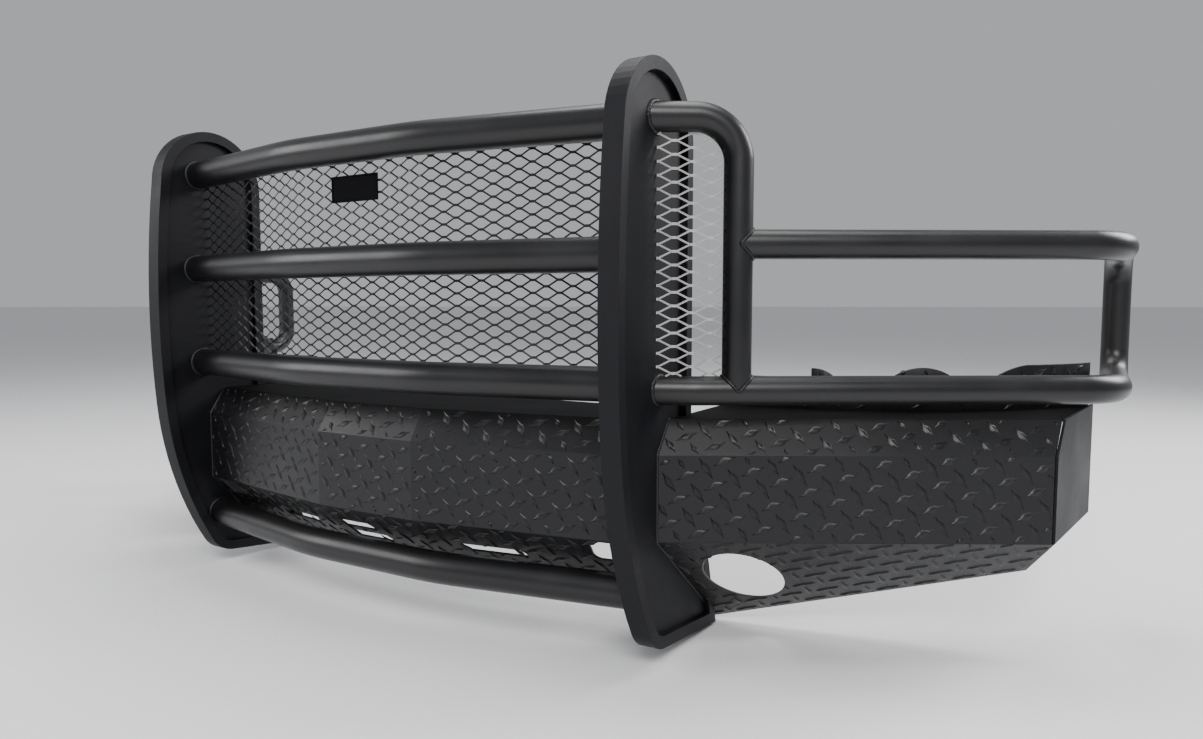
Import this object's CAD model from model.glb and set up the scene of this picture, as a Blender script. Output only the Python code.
from math import atan2, ceil, cos, floor, hypot, pi, radians, sin, sqrt, tan

import bmesh
import bpy
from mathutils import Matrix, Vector
from mathutils.bvhtree import BVHTree


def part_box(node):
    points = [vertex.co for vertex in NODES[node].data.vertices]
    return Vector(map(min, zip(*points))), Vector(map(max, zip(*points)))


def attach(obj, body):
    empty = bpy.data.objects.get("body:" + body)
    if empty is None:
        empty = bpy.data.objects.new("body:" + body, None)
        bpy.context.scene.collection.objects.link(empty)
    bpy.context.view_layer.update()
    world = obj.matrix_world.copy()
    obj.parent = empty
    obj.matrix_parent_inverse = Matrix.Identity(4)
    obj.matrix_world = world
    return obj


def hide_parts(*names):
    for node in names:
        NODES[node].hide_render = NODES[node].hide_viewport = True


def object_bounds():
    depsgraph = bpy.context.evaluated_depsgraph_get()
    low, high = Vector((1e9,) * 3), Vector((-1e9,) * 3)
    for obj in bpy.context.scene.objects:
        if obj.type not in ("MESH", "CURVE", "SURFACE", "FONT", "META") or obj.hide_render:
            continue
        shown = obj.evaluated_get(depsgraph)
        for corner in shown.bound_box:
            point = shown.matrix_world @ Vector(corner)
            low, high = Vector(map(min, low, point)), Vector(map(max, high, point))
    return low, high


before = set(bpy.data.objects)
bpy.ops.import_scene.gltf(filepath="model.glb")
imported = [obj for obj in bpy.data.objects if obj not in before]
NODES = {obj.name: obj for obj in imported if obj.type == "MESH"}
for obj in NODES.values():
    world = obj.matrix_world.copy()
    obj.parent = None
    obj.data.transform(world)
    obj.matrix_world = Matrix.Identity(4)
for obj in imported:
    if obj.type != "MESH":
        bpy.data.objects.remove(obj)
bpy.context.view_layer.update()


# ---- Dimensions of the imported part, in metres ----

UPRIGHT_X = 0.497
WEB_HALF = 0.00635
WEB_IN = UPRIGHT_X - WEB_HALF
WEB_OUT = UPRIGHT_X + WEB_HALF
CROSS_R = 0.0254
SIDE_R = 0.0211
BOW_FLAT = 0.100
BOW_R = 0.500
BOW_ANGLE = radians(10)
BOW_X = BOW_FLAT + BOW_R * tan(BOW_ANGLE / 2)
BOW = (WEB_IN - BOW_X) * tan(BOW_ANGLE)
CROSS = {
    "top_cross_tube": (-0.239, 0.514),
    "middle_cross_tube": (-0.248, 0.331),
    "lower_cross_tube": (-0.241, 0.148),
    "bottom_cross_tube": (-0.214, -0.160),
}
POST = (0.601, -0.148)
LAMP_START_Y = -0.212
LAMP_TOP_Z = 0.522
LAMP_BEND_R = 0.062
LOOP_TOP_Z = 0.346
LOOP_LOW_Z = 0.138
LOOP_X = 1.071
LOOP_Y = 0.427
LOOP_BEND_R = 0.090
LOOP_CORNER_R = 0.050
TUBE_SWEEP = radians(32.3)
STUB = (0.550, -0.148 + (0.550 - 0.601) * tan(TUBE_SWEEP))
STUB_START_Y = -0.199
STUB_BEND_R = 0.120
LOOP_BEND_Y = POST[1] + (LOOP_X - POST[0]) * tan(TUBE_SWEEP)
FACE_Y = -0.291
FACE_FLAT = 0.107
FACE_ANGLE = radians(9)
TOP_Z = 0.093
CREASE_Z = 0.044
LOWER_Z = -0.084
CHAMFER_D = 0.033
VALANCE_SLOPE = radians(48.7)
WING_Y = -0.2045
WING_SWEEP = radians(29.5)
WING_X = 1.003
SKIRT_SLOPE = radians(43.2)
FENDER_R = 0.540
FENDER_C = (0.555, 0.586)
MESH_FRONT_Y = CROSS["middle_cross_tube"][0] + CROSS_R - BOW


# ---- Materials ----

def new_material(name):
    m = bpy.data.materials.new(name)
    m.use_nodes = True
    tree = m.node_tree
    shader = tree.nodes["Principled BSDF"]
    return m, tree, shader


def noise(tree, coords, scale, detail=2.0, rough=0.5):
    n = tree.nodes.new("ShaderNodeTexNoise")
    n.inputs["Scale"].default_value = scale
    n.inputs["Detail"].default_value = detail
    n.inputs["Roughness"].default_value = rough
    tree.links.new(coords, n.inputs["Vector"])
    return n.outputs["Fac"]


def ramp(tree, value, low, high, to_low, to_high):
    n = tree.nodes.new("ShaderNodeMapRange")
    n.inputs["From Min"].default_value = low
    n.inputs["From Max"].default_value = high
    n.inputs["To Min"].default_value = to_low
    n.inputs["To Max"].default_value = to_high
    tree.links.new(value, n.inputs["Value"])
    return n.outputs["Result"]


def mix_colour(tree, factor, a, b):
    n = tree.nodes.new("ShaderNodeMix")
    n.data_type = "RGBA"
    n.inputs["A"].default_value = (*a, 1)
    n.inputs["B"].default_value = (*b, 1)
    tree.links.new(factor, n.inputs["Factor"])
    return n.outputs["Result"]


def bump(tree, shader, layers):
    """Stacks bump layers, each a height, a distance in metres and a strength."""
    last = None
    for height, distance, strength in layers:
        n = tree.nodes.new("ShaderNodeBump")
        n.inputs["Strength"].default_value = strength
        n.inputs["Distance"].default_value = distance
        tree.links.new(height, n.inputs["Height"])
        if last:
            tree.links.new(last, n.inputs["Normal"])
        last = n.outputs["Normal"]
    tree.links.new(last, shader.inputs["Normal"])


def powder_coat(name, dark, light, rough_low, rough_high, coat, peel=0.25, shine=0.4):
    """Black powder coat: orange peel, cloudy gloss and slightly worn colour."""
    m, tree, shader = new_material(name)
    coords = tree.nodes.new("ShaderNodeTexCoord").outputs["Object"]
    cloud = noise(tree, coords, 9, 4, 0.55)
    grain = noise(tree, coords, 420, 2, 0.6)
    colour = mix_colour(tree, ramp(tree, cloud, 0.3, 0.7, 0, 1), dark, light)
    tree.links.new(colour, shader.inputs["Base Color"])
    gloss = tree.nodes.new("ShaderNodeMath")
    gloss.operation = "ADD"
    tree.links.new(ramp(tree, cloud, 0.3, 0.7, rough_low, rough_high), gloss.inputs[0])
    tree.links.new(ramp(tree, grain, 0.2, 0.8, -0.05, 0.05), gloss.inputs[1])
    tree.links.new(gloss.outputs[0], shader.inputs["Roughness"])
    shader.inputs["Specular IOR Level"].default_value = shine
    shader.inputs["Coat Weight"].default_value = coat
    shader.inputs["Coat Roughness"].default_value = 0.28
    bump(tree, shader, [(noise(tree, coords, 260, 3, 0.6), 0.0003, peel),
                        (grain, 0.0001, peel)])
    return m


STEEL = powder_coat("powder_coat", (0.0030, 0.0030, 0.0034), (0.0052, 0.0052, 0.0060),
                    0.34, 0.44, 0.10)
PLATE = powder_coat("powder_coat_plate", (0.0026, 0.0026, 0.0042), (0.0042, 0.0042, 0.0064),
                    0.50, 0.60, 0.0, shine=0.22)
TOP = powder_coat("powder_coat_top", (0.0016, 0.0016, 0.0018), (0.0026, 0.0026, 0.0030),
                  0.70, 0.80, 0.0, shine=0.06)
TREAD = powder_coat("powder_coat_tread", (0.0045, 0.0045, 0.0052), (0.0075, 0.0075, 0.0086),
                    0.36, 0.46, 0.05, 0.35, shine=0.30)
MESH = powder_coat("powder_coat_mesh", (0.0060, 0.0060, 0.0068), (0.0110, 0.0110, 0.0120),
                   0.24, 0.34, 0.3)
LAMP_MESH = powder_coat("bright_mesh", (0.30, 0.30, 0.30), (0.42, 0.42, 0.41),
                        0.30, 0.42, 0.2)
WELD = powder_coat("powder_coat_weld", (0.0040, 0.0040, 0.0048), (0.0075, 0.0075, 0.0085),
                   0.34, 0.46, 0.05, 0.5, shine=0.3)
BADGE = powder_coat("black_badge", (0.0008, 0.0008, 0.0014), (0.0014, 0.0014, 0.0022),
                    0.60, 0.70, 0.0, 0.06, shine=0.05)


def node_material(name):
    if name == "name_plate":
        return BADGE
    if "mesh" in name:
        return MESH
    if "tube" in name:
        return STEEL
    if "top_plate" in name:
        return TOP
    if any(k in name for k in ("upright", "bracket", "side_plate")):
        return PLATE
    return TREAD


MERGE_WITHIN = 0.00002
EDGE_BEVEL = 0.0009
SHARP_EDGE = radians(25)

for name, obj in NODES.items():
    obj.data.materials.clear()
    obj.data.materials.append(node_material(name))
    if "tube" not in name and "mesh" not in name:
        weld = obj.modifiers.new("weld", "WELD")
        weld.merge_threshold = MERGE_WITHIN
        edge = obj.modifiers.new("edge", "BEVEL")
        edge.width = EDGE_BEVEL
        edge.segments = 2
        edge.limit_method = "ANGLE"
        edge.angle_limit = SHARP_EDGE
        edge.harden_normals = True


# ---- Making pieces ----

def add_piece(name, bm, material, smooth=True, smooth_angle=None):
    """Turns a bmesh into a piece that rides on the one body."""
    mesh = bpy.data.meshes.new(name)
    bm.normal_update()
    bm.to_mesh(mesh)
    bm.free()
    mesh.materials.append(material)
    obj = bpy.data.objects.new(name, mesh)
    bpy.context.scene.collection.objects.link(obj)
    if smooth:
        for polygon in mesh.polygons:
            polygon.use_smooth = True
        if smooth_angle:
            mesh.set_sharp_from_angle(angle=smooth_angle)
    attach(obj, "root")
    return obj


def skin_rings(bm, rings, capped=True):
    """Joins rings of points that run in step into one surface."""
    verts = [[bm.verts.new(p) for p in ring] for ring in rings]
    count = len(verts[0])
    for a, b in zip(verts, verts[1:]):
        for k in range(count):
            bm.faces.new((a[k], b[k], b[(k + 1) % count], a[(k + 1) % count]))
    if capped:
        bm.faces.new(verts[0])
        bm.faces.new(verts[-1][::-1])


# ---- Smooth bent tubes ----

SIDES = 48
BEND_STEP = radians(2.5)
WIDE_BEND_STEP = radians(1)


def heading(path, i):
    """Direction of the leg of a flat path that leaves point i."""
    return atan2(path[i + 1][1] - path[i][1], path[i + 1][0] - path[i][0])


def bend_stations(path, i, radius, step=BEND_STEP):
    """Stations round the bend at point i: each a centre and a sideways direction."""
    a0 = heading(path, i - 1)
    turn = heading(path, i) - a0
    trim = radius * tan(turn / 2)
    cx = path[i][0] - trim * cos(a0) - radius * sin(a0)
    cy = path[i][1] - trim * sin(a0) + radius * cos(a0)
    steps = ceil(turn / step)
    out = []
    for k in range(steps + 1):
        a = a0 + turn * k / steps
        out.append(((cx + radius * sin(a), cy - radius * cos(a)), (-sin(a), cos(a))))
    return out


def station_ring(station, r, z=0.0):
    """A round section's points at a station, at height z."""
    (x, y), (mx, my) = station
    ring = []
    for k in range(SIDES):
        t = 2 * pi * k / SIDES
        ring.append(Vector((x + r * cos(t) * mx, y + r * cos(t) * my, z + r * sin(t))))
    return ring


def mirrored(rings):
    return [[Vector((-p.x, p.y, p.z)) for p in ring] for ring in rings]


def tube_piece(name, rings):
    """A smooth tube that replaces the CAD node it is named after."""
    bm = bmesh.new()
    skin_rings(bm, rings, capped=False)
    bmesh.ops.recalc_face_normals(bm, faces=bm.faces)
    piece = add_piece(name + "_smooth", bm, STEEL)
    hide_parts(name)


cross_path = [(-WEB_IN, BOW), (-BOW_X, 0), (BOW_X, 0), (WEB_IN, BOW)]
flat_on_web = (0, 1 / cos(BOW_ANGLE))
cross_line = [(cross_path[0], flat_on_web)]
cross_line += bend_stations(cross_path, 1, BOW_R, WIDE_BEND_STEP)
cross_line += bend_stations(cross_path, 2, BOW_R, WIDE_BEND_STEP)
cross_line += [(cross_path[3], flat_on_web)]
for name, (y, z) in CROSS.items():
    tube_piece(name, [station_ring(((px, py + y - BOW), m), CROSS_R, z)
                      for (px, py), m in cross_line])

# The lower wing tube starts flat against the web
low_path = [(WEB_OUT, STUB_START_Y), STUB, (LOOP_X, LOOP_BEND_Y),
            (LOOP_X, LOOP_Y - LOOP_CORNER_R)]
low_line = [(low_path[0], (0, 1 / cos(heading(low_path, 0))))]
low_line += bend_stations(low_path, 1, STUB_BEND_R) + bend_stations(low_path, 2, LOOP_BEND_R)
low_line += [(low_path[3], (-1, 0))]
low_rings = [station_ring(st, SIDE_R, LOOP_LOW_Z) for st in low_line]

# The upper tube is coped against the vertical headlight tube
cope = []
for k in range(SIDES):
    t = 2 * pi * k / SIDES
    off = SIDE_R * cos(t)
    reach = sqrt(max(SIDE_R ** 2 - off ** 2, 0))
    cope.append(Vector((POST[0] + reach * cos(TUBE_SWEEP) - off * sin(TUBE_SWEEP),
                        POST[1] + reach * sin(TUBE_SWEEP) + off * cos(TUBE_SWEEP),
                        LOOP_TOP_Z + SIDE_R * sin(t))))
high_path = [POST, (LOOP_X, LOOP_BEND_Y), (LOOP_X, LOOP_Y - LOOP_CORNER_R)]
high_rings = [cope]
high_rings += [station_ring(st, SIDE_R, LOOP_TOP_Z)
               for st in bend_stations(high_path, 1, LOOP_BEND_R)]
high_rings += [station_ring((high_path[2], (-1, 0)), SIDE_R, LOOP_TOP_Z)]

# The headlight tube lies in an upright plane: x out along it, y up, z across
LAMP_ANGLE = atan2(POST[1] - LAMP_START_Y, POST[0] - WEB_OUT)
LAMP_REACH = hypot(POST[0] - WEB_OUT, POST[1] - LAMP_START_Y)
lamp_path = [(LAMP_REACH, LOOP_LOW_Z), (LAMP_REACH, LAMP_TOP_Z), (0, LAMP_TOP_Z)]


def from_lamp_plane(p):
    """A point of the upright plane, put in the part's frame."""
    return Vector((WEB_OUT + p.x * cos(LAMP_ANGLE) + p.z * sin(LAMP_ANGLE),
                   LAMP_START_Y + p.x * sin(LAMP_ANGLE) - p.z * cos(LAMP_ANGLE), p.y))


def foot_point(q):
    """Moves a point of the tube's foot up to the surface of the lower wing tube."""
    swing = LAMP_ANGLE - TUBE_SWEEP
    across = (q.x - LAMP_REACH) * sin(swing) - q.z * cos(swing)
    return Vector((q.x, q.y + sqrt(max(SIDE_R ** 2 - across ** 2, 0)), q.z))


def web_end_point(q):
    """Moves a point of the tube's other end on to the web's face."""
    return Vector((-q.z * tan(LAMP_ANGLE), q.y, q.z))


lamp_rings = [[foot_point(q) for q in station_ring((lamp_path[0], (-1, 0)), SIDE_R)]]
lamp_rings += [station_ring(st, SIDE_R) for st in bend_stations(lamp_path, 1, LAMP_BEND_R)]
lamp_rings += [[web_end_point(q) for q in station_ring((lamp_path[2], (0, -1)), SIDE_R)]]
lamp_rings = [[from_lamp_plane(q) for q in ring] for ring in lamp_rings]

# The end tube lies in an upright plane: x back, y up, z across
end_path = [(LOOP_Y - LOOP_CORNER_R, LOOP_LOW_Z), (LOOP_Y, LOOP_LOW_Z), (LOOP_Y, LOOP_TOP_Z),
            (LOOP_Y - LOOP_CORNER_R, LOOP_TOP_Z)]
end_line = bend_stations(end_path, 1, LOOP_CORNER_R) + bend_stations(end_path, 2, LOOP_CORNER_R)
end_rings = [[Vector((LOOP_X + q.z, q.x, q.y)) for q in station_ring(st, SIDE_R)]
             for st in end_line]

for side, flip in (("right", lambda r: r), ("left", mirrored)):
    tube_piece(side + "_wing_end_tube", flip(end_rings))
    tube_piece(side + "_wing_lower_tube", flip(low_rings))
    tube_piece(side + "_wing_upper_tube", flip(high_rings))
    tube_piece(side + "_headlight_tube", flip(lamp_rings))


# ---- Weld beads ----

BEAD = 0.0036
SMALL_BEAD = 0.0028
SEAM_BEAD = 0.0025
BEAD_SIDES = 8
RIPPLE = 0.0045
WELD_STEP = 0.0013
# A ripple takes a bead from its least radius to its fullest, as parts of the stated one
RIPPLE_LEAST, RIPPLE_RISE = 0.88, 0.16

# A direction that no weld runs along
ASKEW = Vector((0.31, 0.52, 0.79))


def bead_rings(points, closed, radius):
    """A rippled round bead along the points."""
    n = len(points)
    rings = []
    travelled = 0.0
    for i, p in enumerate(points):
        before = points[(i - 1) % n] if closed or i else p
        after = points[(i + 1) % n] if closed or i < n - 1 else p
        along = (after - before).normalized()
        if i:
            travelled += (p - points[i - 1]).length
        side = along.cross(ASKEW).normalized()
        up = along.cross(side)
        r = radius * (RIPPLE_LEAST + RIPPLE_RISE * abs(sin(pi * travelled / RIPPLE)))
        rings.append([p + r * (cos(t) * side + sin(t) * up)
                      for t in (2 * pi * k / BEAD_SIDES for k in range(BEAD_SIDES))])
    return rings


def dense(points, closed):
    """The same line with a point at least every WELD_STEP."""
    out = []
    n = len(points)
    for i in range(n if closed else n - 1):
        a, b = points[i], points[(i + 1) % n]
        steps = max(1, ceil((b - a).length / WELD_STEP))
        out += [a.lerp(b, k / steps) for k in range(steps)]
    if not closed:
        out.append(points[-1])
    return out


weld_bm = bmesh.new()


def weld_along(points, closed=False, radius=BEAD):
    """Lays a bead along the points and another along their mirror image."""
    for flip in (1, -1):
        side_points = [Vector((flip * p.x, p.y, p.z)) for p in dense(points, closed)]
        rings = bead_rings(side_points, closed, radius)
        # A bead's rings turn with its path, so a closed one is left with lapped ends
        skin_rings(weld_bm, rings + ([rings[0]] if closed else []))


WELD_POINTS = 60
for y, z in CROSS.values():
    weld_along([Vector((WEB_IN, y + CROSS_R / cos(BOW_ANGLE) * cos(t), z + CROSS_R * sin(t)))
                for t in (2 * pi * k / WELD_POINTS for k in range(WELD_POINTS))], True)
weld_along(low_rings[0], True)
weld_along(lamp_rings[-1], True)
weld_along(lamp_rings[0], True, SMALL_BEAD)
weld_along(cope, True, SMALL_BEAD)

# Plate seams against the uprights, where the bumper's plates meet the webs
UNDER_SEAM = 0.060
SKIRT_SEAM = 0.200
# The underside's slope as it shows where it meets the web, as a part of its true slope
SKIRT_AT_WEB = 0.87
face_end_y = FACE_Y + (WEB_IN - FACE_FLAT) * tan(FACE_ANGLE)
weld_along([Vector((WEB_IN, face_end_y + CHAMFER_D / cos(FACE_ANGLE), TOP_Z)),
            Vector((WEB_IN, face_end_y, CREASE_Z)),
            Vector((WEB_IN, face_end_y, LOWER_Z)),
            Vector((WEB_IN, face_end_y + UNDER_SEAM,
                    LOWER_Z - UNDER_SEAM * tan(VALANCE_SLOPE)))],
           radius=SEAM_BEAD)
weld_along([Vector((WEB_OUT, WING_Y + CHAMFER_D / cos(WING_SWEEP), TOP_Z)),
            Vector((WEB_OUT, WING_Y, CREASE_Z)),
            Vector((WEB_OUT, WING_Y, LOWER_Z)),
            Vector((WEB_OUT, WING_Y + SKIRT_SEAM,
                    LOWER_Z - SKIRT_SEAM * tan(SKIRT_SLOPE) * SKIRT_AT_WEB))],
           radius=SEAM_BEAD)
bmesh.ops.recalc_face_normals(weld_bm, faces=weld_bm.faces)
add_piece("weld_beads", weld_bm, WELD)


# ---- Expanded metal ----

# Length of a bond as a part of the long way, and its width in strands
BOND_SHARE = 0.13
BOND_WIDTH = 1.7


def strand(bm, a, b, width, thick, lean, to_world):
    """One strand from a to b in the sheet's plane, its flat leaning out of that plane."""
    d = (b - a).normalized()
    across = Vector((-d.y, d.x))
    corners = []
    for end in (a, b):
        for s, t in ((-1, -1), (1, -1), (1, 1), (-1, 1)):
            w, h = s * width / 2, t * thick / 2
            flat = w * cos(lean) - h * sin(lean)
            deep = w * sin(lean) + h * cos(lean)
            p = end + across * flat
            corners.append(bm.verts.new(to_world(p.x, p.y, deep)))
    for quad in ((0, 1, 2, 3), (7, 6, 5, 4), (0, 4, 5, 1), (1, 5, 6, 2), (2, 6, 7, 3),
                 (3, 7, 4, 0)):
        bm.faces.new([corners[i] for i in quad])


def clipped(a, b, inside, steps=12):
    """The stretch of a to b that is inside, or None if too little of it is."""
    points = [a.lerp(b, k / steps) for k in range(steps + 1)]
    kept = [p for p in points if inside(p)]
    return (kept[0], kept[-1]) if len(kept) > 2 else None


def expanded_sheet(bm, x0, x1, z0, z1, long, short, width, thick, lean, to_world,
                   inside=None):
    """Diamonds of the given long and short way, with a wider bond where strands meet."""
    def within(p):
        return x0 <= p.x <= x1 and z0 <= p.y <= z1 and (inside is None or inside(p))

    bond = BOND_SHARE * long
    for row in range(floor(2 * z0 / short) - 1, ceil(2 * z1 / short) + 1):
        for col in range(floor(x0 / long) - 1, ceil(x1 / long) + 2):
            c = Vector(((col + (0.5 if row % 2 else 0)) * long, row * short / 2))
            for s in (-1, 1):
                a = c + Vector((s * bond / 2, 0))
                b = c + Vector((s * (long - bond) / 2, short / 2))
                kept = clipped(a, b, within)
                if kept:
                    strand(bm, kept[0], kept[1], width, thick, s * lean, to_world)
            kept = clipped(c - Vector((bond / 2, 0)), c + Vector((bond / 2, 0)), within)
            if kept:
                strand(bm, kept[0], kept[1], BOND_WIDTH * width, thick, 0, to_world)


MESH_T = 0.003
STRAND_T = 0.0014
# How far short of the web the grille's sheet and the headlight guards' stop
GRILLE_GAP = 0.0008
LAMP_GAP = 0.001
grille_low, grille_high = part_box("middle_grille_mesh")
mesh_bm = bmesh.new()
middle_y = MESH_FRONT_Y + MESH_T / 2
GRILLE_HALF = BOW_X + (WEB_IN - BOW_X) / cos(BOW_ANGLE) - GRILLE_GAP


def on_grille(x, z, d):
    """x runs along the sheet, so the lattice carries on round both bends."""
    past = abs(x) - BOW_X
    if past <= 0:
        return Vector((x, middle_y + d, z))
    out = BOW_X + past * cos(BOW_ANGLE) - d * sin(BOW_ANGLE)
    return Vector((out if x > 0 else -out,
                   middle_y + past * sin(BOW_ANGLE) + d * cos(BOW_ANGLE), z))


expanded_sheet(mesh_bm, -GRILLE_HALF, GRILLE_HALF, grille_low.z, grille_high.z,
               long=0.043, short=0.0192, width=0.0024, thick=STRAND_T, lean=radians(38),
               to_world=on_grille)
bmesh.ops.recalc_face_normals(mesh_bm, faces=mesh_bm.faces)
grille = add_piece("grille_expanded", mesh_bm, MESH, smooth=False)
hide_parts("middle_grille_mesh", "left_grille_mesh", "right_grille_mesh")

LAMP_INNER_R = LAMP_BEND_R - SIDE_R
lamp_right = LAMP_REACH - SIDE_R
lamp_top = LAMP_TOP_Z - SIDE_R


def in_lamp_corner(p):
    """Whether a point lies inside the tube's rounded corner."""
    cx, cz = lamp_right - LAMP_INNER_R, lamp_top - LAMP_INNER_R
    return p.x <= cx or p.y <= cz or hypot(p.x - cx, p.y - cz) <= LAMP_INNER_R


for side, flip in (("right", 1), ("left", -1)):
    def on_lamp(x, z, d, flip=flip):
        q = from_lamp_plane(Vector((x, z, d)))
        return Vector((flip * q.x, q.y, q.z))

    bm = bmesh.new()
    expanded_sheet(bm, LAMP_GAP, lamp_right, LOOP_LOW_Z + SIDE_R, lamp_top,
                   long=0.052, short=0.0192, width=0.0022, thick=STRAND_T, lean=radians(30),
                   to_world=on_lamp, inside=in_lamp_corner)
    bmesh.ops.recalc_face_normals(bm, faces=bm.faces)
    piece = add_piece(side + "_headlight_expanded", bm, LAMP_MESH, smooth=False)
    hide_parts(side + "_headlight_mesh")


# ---- Tread plate ----

# The two steps along which the pattern repeats
LATTICE = (Vector((0.041, -0.015)), Vector((-0.0123, -0.0356)))
BAR_LONG = 0.038
BAR_WIDE = 0.0118
BAR_HIGH = 0.0017
# Directions of the two kinds of lozenge
STEEP, SHALLOW = radians(-56), radians(23)
# A lozenge's outline, in halves of its length and width: points, pinched shoulders and
# a blunt middle
OUTLINE = [(-1, 0), (-0.55, 0.30), (-0.12, 0.92), (0.12, 0.92), (0.55, 0.30), (1, 0),
           (0.55, -0.30), (0.12, -0.92), (-0.12, -0.92), (-0.55, -0.30)]
RIDGE_LONG, RIDGE_WIDE = 0.72, 0.22
SHORTEST_BAR = 0.008
# Added to the part of a lozenge that is left, to give its width
WIDTH_KEPT = 0.15
# How far in front of a plate its ray starts, how far it looks and how near it must land
RAY_FROM, RAY_REACH, RAY_SLACK = 0.004, 0.006, 0.0008
EDGE_GAP = 0.001
# Centres are tried this far past a facet's edges, in at least this many metres a step
OVERHANG = 0.02
LEAST_STEP = 0.03


def tread_tree(node):
    """A search tree over a node's own mesh."""
    mesh = NODES[node].data
    return BVHTree.FromPolygons([v.co for v in mesh.vertices],
                                [p.vertices[:] for p in mesh.polygons])


def lozenge(bm, a, b, at):
    """A raised lozenge from a to b, at(u, v, height) placing each of its points."""
    centre, d = (a + b) / 2, (b - a)
    half = d.length / 2
    d.normalize()
    across = Vector((-d.y, d.x))
    rim, ridge = [], []
    # One that is cut short by an edge is narrower too
    wide = BAR_WIDE / 2 * min(1, half * 2 / BAR_LONG + WIDTH_KEPT)
    for s, t in OUTLINE:
        p = centre + d * s * half + across * t * wide
        rim.append(bm.verts.new(at(p.x, p.y, 0.0)))
        q = centre + d * s * half * RIDGE_LONG + across * t * wide * RIDGE_WIDE
        ridge.append(bm.verts.new(at(q.x, q.y, BAR_HIGH)))
    n = len(rim)
    for k in range(n):
        bm.faces.new((rim[k], rim[(k + 1) % n], ridge[(k + 1) % n], ridge[k]))
    bm.faces.new(ridge)


def tread_facet(bm, tree, u_range, v_range, at, normal_at, phase=(0.0, 0.0)):
    """Lozenges over a facet, kept where a ray from in front meets the plate."""
    def on_plate(p):
        origin = at(p.x, p.y, RAY_FROM)
        hit = tree.ray_cast(origin, -normal_at(p.x), RAY_REACH)
        return hit[0] is not None and abs((hit[0] - origin).length - RAY_FROM) < RAY_SLACK

    span = ceil(max(u_range[1] - u_range[0], v_range[1] - v_range[0]) / LEAST_STEP) + 4
    for i in range(-span, span):
        for j in range(-span, span):
            for offset, angle in ((Vector((0, 0)), STEEP),
                                  ((LATTICE[0] + LATTICE[1]) / 2, SHALLOW)):
                c = Vector((u_range[0] + phase[0], v_range[1] + phase[1]))
                c = c + LATTICE[0] * i + LATTICE[1] * j + offset
                if not (u_range[0] - OVERHANG < c.x < u_range[1] + OVERHANG
                        and v_range[0] - OVERHANG < c.y < v_range[1] + OVERHANG):
                    continue
                reach = Vector((cos(angle), sin(angle))) * BAR_LONG / 2

                def inside(p):
                    return (u_range[0] + EDGE_GAP < p.x < u_range[1] - EDGE_GAP
                            and v_range[0] + EDGE_GAP < p.y < v_range[1] - EDGE_GAP
                            and on_plate(p))

                kept = clipped(c - reach, c + reach, inside, 10)
                if kept and (kept[1] - kept[0]).length > SHORTEST_BAR:
                    lozenge(bm, kept[0], kept[1], at)


def plane_facet(origin, u_dir, v_dir, outward):
    """A flat facet, as a function that places a point on it and one that gives its normal."""
    normal = u_dir.cross(v_dir).normalized()
    if normal.dot(outward) < 0:
        normal = -normal

    def at(u, v, h):
        return origin + u_dir * u + v_dir * v + normal * h

    return at, lambda u: normal


def flipped(facet, flip):
    """The facet itself, or its mirror image where flip is -1."""
    at, normal_at = facet
    if flip == 1:
        return at, normal_at

    def at_other(u, v, h):
        p = at(-u, v, h)
        return Vector((-p.x, p.y, p.z))

    def normal_other(u):
        n = normal_at(-u)
        return Vector((-n.x, n.y, n.z))

    return at_other, normal_other


# How far down its slope an underside is searched for plate
UNDER_REACH = 0.27


def section_facets(origin, across, back, slope):
    """Chamfer, face and underside of a folded bumper section."""
    up = Vector((0, 0, 1))
    rise = Vector((0, 0, TOP_Z - CREASE_Z)) + back * CHAMFER_D
    down = -(back * cos(slope) - up * sin(slope))
    return {
        "chamfer": (plane_facet(origin + up * CREASE_Z, across, rise.normalized(), -back),
                    (0, rise.length)),
        "face": (plane_facet(origin + up * LOWER_Z, across, up, -back),
                 (0, CREASE_Z - LOWER_Z)),
        "under": (plane_facet(origin + up * LOWER_Z, across, down, -up), (-UNDER_REACH, 0)),
    }


# Length of the centre section past its bend, and where the pattern starts on it
TURNED_LONG = 0.388
TURNED_PHASE = (0.011, 0.0)
trees = {n: tread_tree(n) for n in NODES
         if any(k in n for k in ("face", "valance", "underside", "filler"))}

bm = bmesh.new()
middle = section_facets(Vector((0, FACE_Y, 0)), Vector((1, 0, 0)), Vector((0, 1, 0)),
                        VALANCE_SLOPE)
turned = section_facets(Vector((FACE_FLAT, FACE_Y, 0)),
                        Vector((cos(FACE_ANGLE), sin(FACE_ANGLE), 0)),
                        Vector((-sin(FACE_ANGLE), cos(FACE_ANGLE), 0)), VALANCE_SLOPE)
owner = {"chamfer": "centre_face", "face": "centre_face", "under": "centre_valance"}
for key, node in owner.items():
    facet, (v0, v1) = middle[key]
    tread_facet(bm, trees[node], (-FACE_FLAT, FACE_FLAT), (v0, v1), *facet)
    for flip in (1, -1):
        facet, (v0, v1) = turned[key]
        u = (0.0, TURNED_LONG) if flip == 1 else (-TURNED_LONG, 0.0)
        tread_facet(bm, trees[node], u, (v0, v1), *flipped(facet, flip),
                    phase=TURNED_PHASE)
bmesh.ops.recalc_face_normals(bm, faces=bm.faces)
add_piece("centre_tread", bm, TREAD, smooth_angle=radians(50))

wing = section_facets(Vector((WEB_OUT, WING_Y, 0)),
                      Vector((cos(WING_SWEEP), sin(WING_SWEEP), 0)),
                      Vector((-sin(WING_SWEEP), cos(WING_SWEEP), 0)), SKIRT_SLOPE)
WING_RUN = (WING_X - WEB_OUT) / cos(WING_SWEEP)
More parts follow.
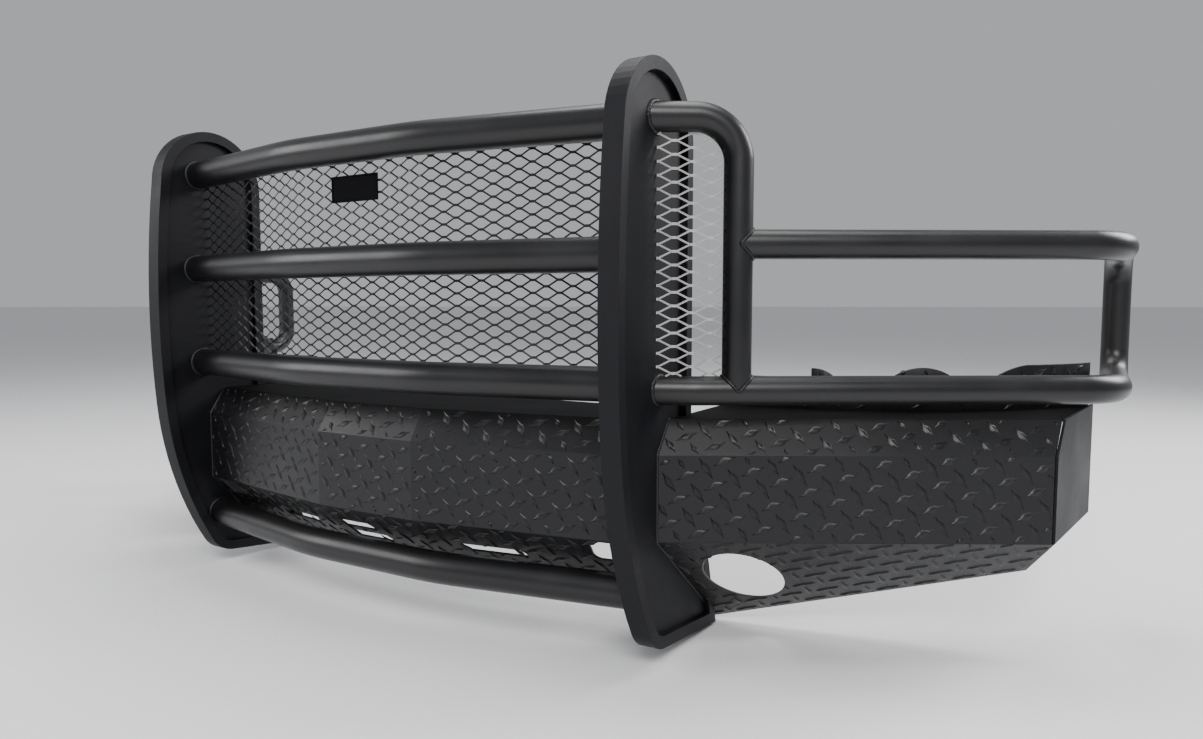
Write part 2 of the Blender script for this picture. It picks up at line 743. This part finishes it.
# How far a wing's facets are searched past their ends. The pattern starts at the range's start
PAST_INNER, PAST_OUTER = 0.20, 0.02
# The fender trim's run round the arc and its band of height
TRIM_RUN, TRIM_BAND = (-0.06, 0.62), (0.094, 0.164)
for side, flip in (("right", 1), ("left", -1)):
    bm = bmesh.new()
    owner = {"chamfer": side + "_wing_face", "face": side + "_wing_face",
             "under": side + "_wing_underside"}
    for key, node in owner.items():
        facet, (v0, v1) = wing[key]
        u = ((-PAST_INNER, WING_RUN + PAST_OUTER) if flip == 1
             else (-WING_RUN - PAST_OUTER, PAST_INNER))
        tread_facet(bm, trees[node], u, (v0, v1), *flipped(facet, flip))

    def around(u, v, h, flip=flip):
        psi = u / FENDER_R
        r = FENDER_R + h
        return Vector((flip * (FENDER_C[0] + r * sin(psi)), FENDER_C[1] - r * cos(psi), v))

    def outward(u, flip=flip):
        psi = u / FENDER_R
        return Vector((flip * sin(psi), -cos(psi), 0))

    tread_facet(bm, trees[side + "_fender_filler"], TRIM_RUN, TRIM_BAND, around, outward)
    bmesh.ops.recalc_face_normals(bm, faces=bm.faces)
    add_piece(side + "_wing_tread", bm, TREAD, smooth_angle=radians(50))


# ---- Stage ----

FLOOR_SIZE = 300
# The floor lies this far under the part, so that the two don't touch
FLOOR_DROP = 0.004
low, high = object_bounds()
floor_bm = bmesh.new()
bmesh.ops.create_grid(floor_bm, x_segments=8, y_segments=8, size=FLOOR_SIZE)
floor_mesh = bpy.data.meshes.new("floor")
floor_bm.to_mesh(floor_mesh)
floor_bm.free()
floor_obj = bpy.data.objects.new("floor", floor_mesh)
floor_obj.location = (0, 0, low[2] - FLOOR_DROP)
bpy.context.scene.collection.objects.link(floor_obj)
m, tree, shader = new_material("pale_floor")
coords = tree.nodes.new("ShaderNodeTexCoord").outputs["Object"]
tree.links.new(mix_colour(tree, noise(tree, coords, 1.5, 3), (0.74, 0.74, 0.75),
                          (0.78, 0.78, 0.79)), shader.inputs["Base Color"])
shader.inputs["Roughness"].default_value = 0.85
floor_mesh.materials.append(m)

world = bpy.data.worlds.new("studio")
world.use_nodes = True
background = world.node_tree.nodes["Background"]
background.inputs["Color"].default_value = (0.86, 0.88, 0.92, 1)
background.inputs["Strength"].default_value = 0.50
bpy.context.scene.world = world


def soft_light(name, at, target, size, power):
    data = bpy.data.lights.new(name, "AREA")
    data.shape = "RECTANGLE"
    data.size, data.size_y = size
    data.energy = power
    obj = bpy.data.objects.new(name, data)
    obj.location = at
    obj.rotation_euler = (Vector(target) - Vector(at)).to_track_quat("-Z", "Y").to_euler()
    bpy.context.scene.collection.objects.link(obj)


soft_light("key", (2.2, -3.4, 3.0), (0, 0, 0.1), (2.4, 1.6), 200)
soft_light("fill", (-3.2, -2.6, 1.8), (0, 0, 0.1), (2.0, 2.0), 90)
soft_light("top", (0.2, 0.4, 3.6), (0, 0, 0), (3.2, 2.0), 130)
soft_light("rim", (2.8, 2.6, 2.2), (0.2, 0, 0.1), (1.6, 1.6), 110)

camera_data = bpy.data.cameras.new("camera")
camera_data.lens = 25
camera_data.sensor_width = 36
camera_data.clip_start = 0.01
camera = bpy.data.objects.new("camera", camera_data)
camera.location = (1.0402, -1.2723, 0.260)
camera.rotation_euler = (radians(85.61), 0, radians(30.54))
bpy.context.scene.collection.objects.link(camera)
bpy.context.scene.camera = camera
